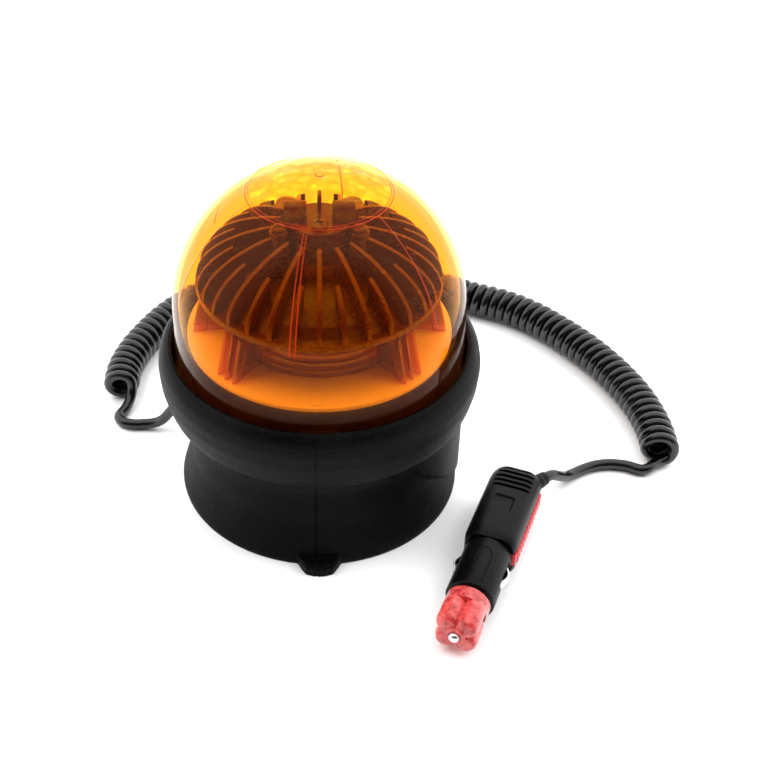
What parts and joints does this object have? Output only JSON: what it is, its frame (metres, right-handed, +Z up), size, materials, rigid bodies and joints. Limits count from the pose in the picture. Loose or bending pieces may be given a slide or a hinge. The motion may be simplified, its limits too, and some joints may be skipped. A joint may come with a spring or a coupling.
{
  "type": "magnetic led warning beacon",
  "caption": "Amber dome warning beacon with a finned heat sink over an LED core, in a rubber boot with a pot magnet, and a curly cord to a lighter-socket plug.",
  "frame": {"origin": "middle of the magnet pad's resting face, on the surface the beacon stands on", "axes": "+Z up along the beacon's axis, -Y towards the pull tab at the front, +X to the side where the plug lies"},
  "size_m": [0.2861, 0.2864, 0.1619],
  "materials": {
    "boot_rubber": "matt black moulded rubber with fine grain",
    "cord_jacket": "satin black polyurethane cord jacket",
    "black_plastic": "black moulded plastic with a fine spark texture",
    "amber_lens": "clear amber polycarbonate",
    "clear_optic": "clear polycarbonate optics",
    "white_reflector": "white reflective plastic",
    "steel": "nickel-plated steel",
    "magnet_ferrite": "dark grey ferrite",
    "anodised_black": "black anodised die-cast aluminium",
    "aluminium": "milled aluminium",
    "circuit_board": "green solder mask",
    "led_phosphor": "yellow phosphor and clear dome",
    "red_plastic": "translucent red moulded plastic",
    "brass": "plain brass",
    "fuse_glass": "clear glass tube"
  },
  "bodies": {
    "base": {"rubber_boot": "boot_rubber", "magnet_pad": "boot_rubber", "magnet_cup": "steel", "ring_magnet": "magnet_ferrite", "magnet_bolt": "steel", "magnet_washer": "steel", "magnet_nut": "steel", "lamp_housing": "black_plastic", "cable_gland": "black_plastic", "gland_nut": "black_plastic", "inner_lead": "cord_jacket", "terminal_block": "white_reflector", "driver_board": "circuit_board", "driver_capacitor": "aluminium", "driver_coil": "magnet_ferrite", "core_lead": "cord_jacket", "board_screw_1": "steel", "board_screw_2": "steel", "board_screw_3": "steel", "reflector_plate": "white_reflector", "led_core": "aluminium", "led_board": "white_reflector", "optic_ring": "clear_optic", "heat_sink": "anodised_black", "sink_screw_left": "steel", "sink_screw_right": "steel", "hub_screw": "steel", "led_1": "led_phosphor", "led_2": "led_phosphor", "led_3": "led_phosphor", "led_4": "led_phosphor", "led_5": "led_phosphor", "led_6": "led_phosphor", "led_7": "led_phosphor", "led_8": "led_phosphor", "lens_seal": "boot_rubber", "cord_lamp_tail": "cord_jacket", "cord_coil": "cord_jacket", "cord_plug_tail": "cord_jacket", "plug_shell_upper": "black_plastic", "plug_shell_lower": "black_plastic", "plug_boot": "boot_rubber", "plug_barrel": "black_plastic", "fuse_spring": "steel", "plug_screw": "brass"},
    "lens": {"dome_lens": "amber_lens"},
    "adapter": {"plug_adapter": "red_plastic"},
    "release": {"release_slide": "red_plastic"},
    "tip": {"tip_contact": "steel", "plug_fuse": "fuse_glass"},
    "contact_left": {"side_contact_left": "steel"},
    "contact_right": {"side_contact_right": "steel"}
  },
  "joints": [
    {"name": "lens_turn", "type": "hinge", "parent": "base", "child": "lens", "pos_m": [0, 0, 0.07], "axis": [0, 0, 1], "range_deg": [0, 20]},
    {"name": "adapter_pull", "type": "slide", "parent": "base", "child": "adapter", "axis": [-0.3714, -0.9285, 0], "range_m": [0, 0.018]},
    {"name": "release_push", "type": "slide", "parent": "base", "child": "release", "axis": [0.3714, 0.9285, 0], "range_m": [0, 0.003], "stiffness_N_per_m": 400, "springref_m": -0.001},
    {"name": "tip_press", "type": "slide", "parent": "base", "child": "tip", "axis": [0.3714, 0.9285, 0], "range_m": [0, 0.0022], "stiffness_N_per_m": 1200, "springref_m": -0.001, "deforming": ["fuse_spring"]},
    {"name": "contact_left_press", "type": "slide", "parent": "base", "child": "contact_left", "axis": [0.9285, -0.3714, 0], "range_m": [0, 0.0014], "stiffness_N_per_m": 1200, "springref_m": -0.0005},
    {"name": "contact_right_press", "type": "slide", "parent": "base", "child": "contact_right", "axis": [-0.9285, 0.3714, 0], "range_m": [0, 0.0014], "stiffness_N_per_m": 1200, "springref_m": -0.0005}
  ]
}
